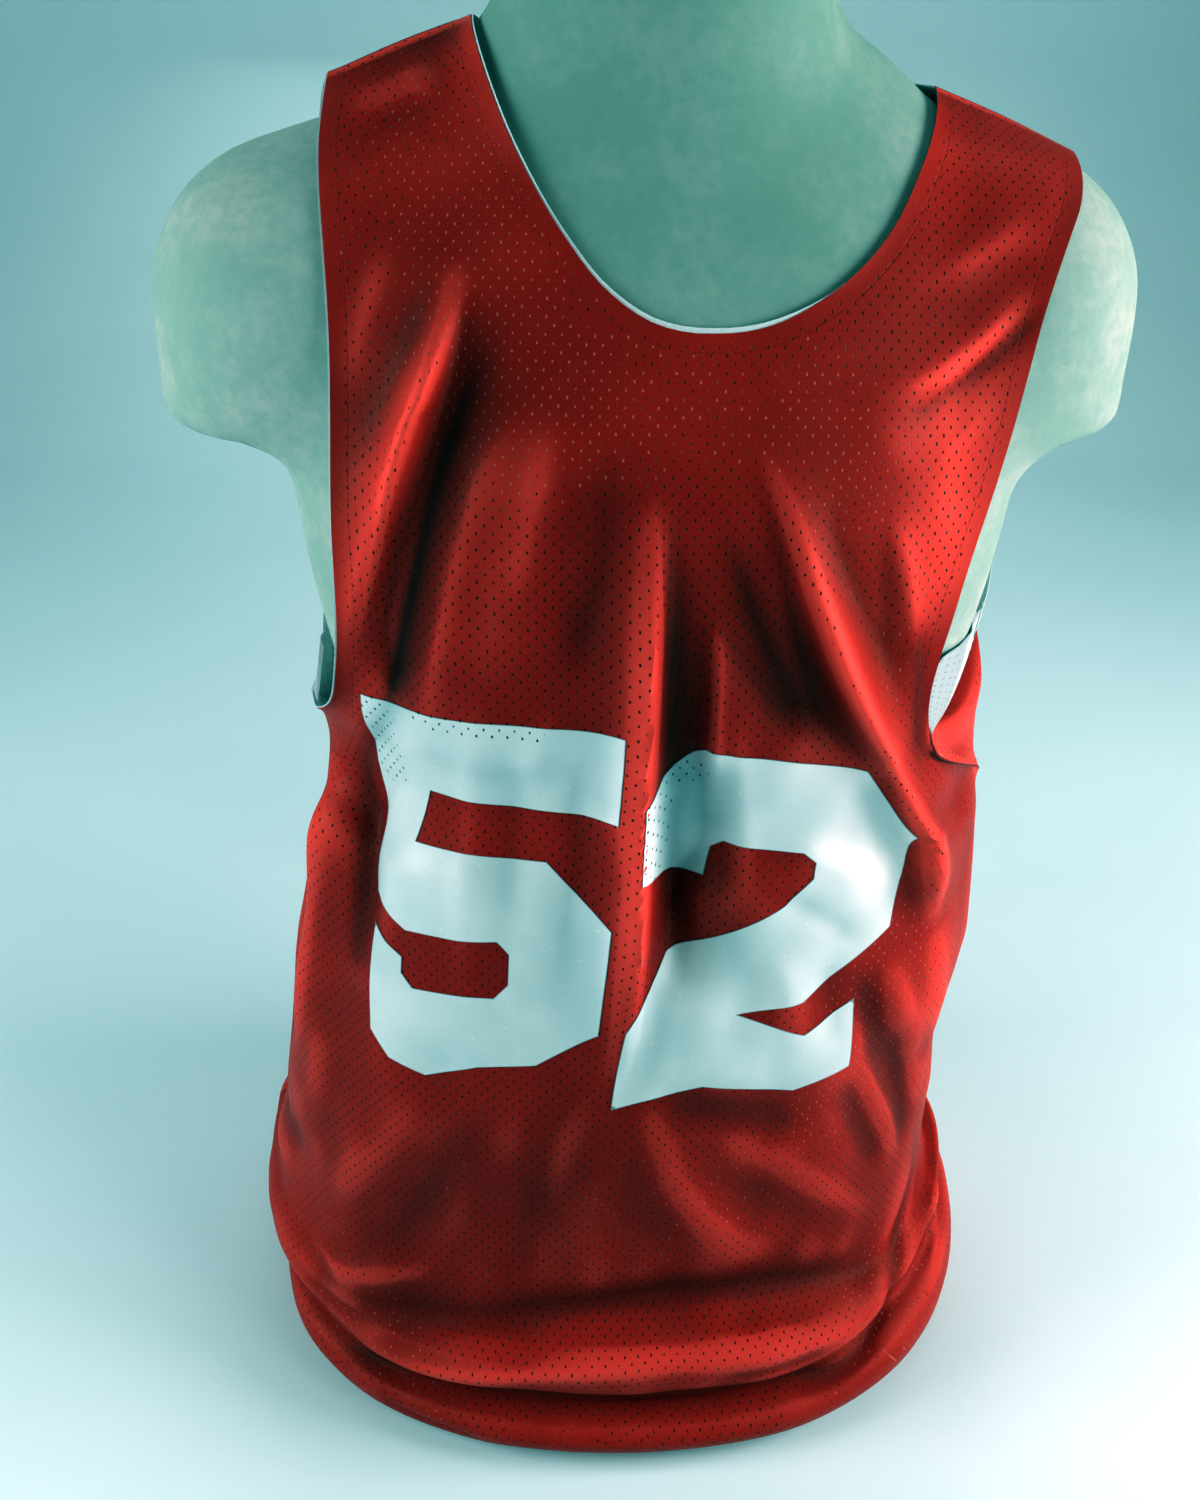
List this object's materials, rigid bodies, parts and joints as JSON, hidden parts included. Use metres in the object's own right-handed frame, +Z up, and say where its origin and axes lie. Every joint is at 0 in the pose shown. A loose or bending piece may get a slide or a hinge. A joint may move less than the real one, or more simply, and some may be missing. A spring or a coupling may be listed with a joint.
{
  "type": "basketball jersey on torso form",
  "caption": "Loose sleeveless two-layer mesh basketball jersey with plain numerals, worn by a smooth limbless torso form, its hem tucked under round the foot.",
  "frame": {"origin": "middle of the whole object's footprint, on the surface it stands on", "axes": "+Z up, -Y to the front of the jersey, +X to its wearer's left"},
  "size_m": [0.5122, 0.4119, 0.88],
  "materials": {
    "front_outer": "satin red eyelet mesh knit",
    "back_outer": "satin red eyelet mesh knit",
    "front_lining": "white eyelet mesh knit",
    "back_lining": "white eyelet mesh knit",
    "number_5": "white pressed print over mesh",
    "number_2": "white pressed print over mesh",
    "form": "smooth satin shell"
  },
  "bodies": {
    "root": {"front_outer": "front_outer", "back_outer": "back_outer", "front_lining": "front_lining", "back_lining": "back_lining", "number_5": "number_5", "number_2": "number_2", "form": "form"}
  },
  "joints": []
}
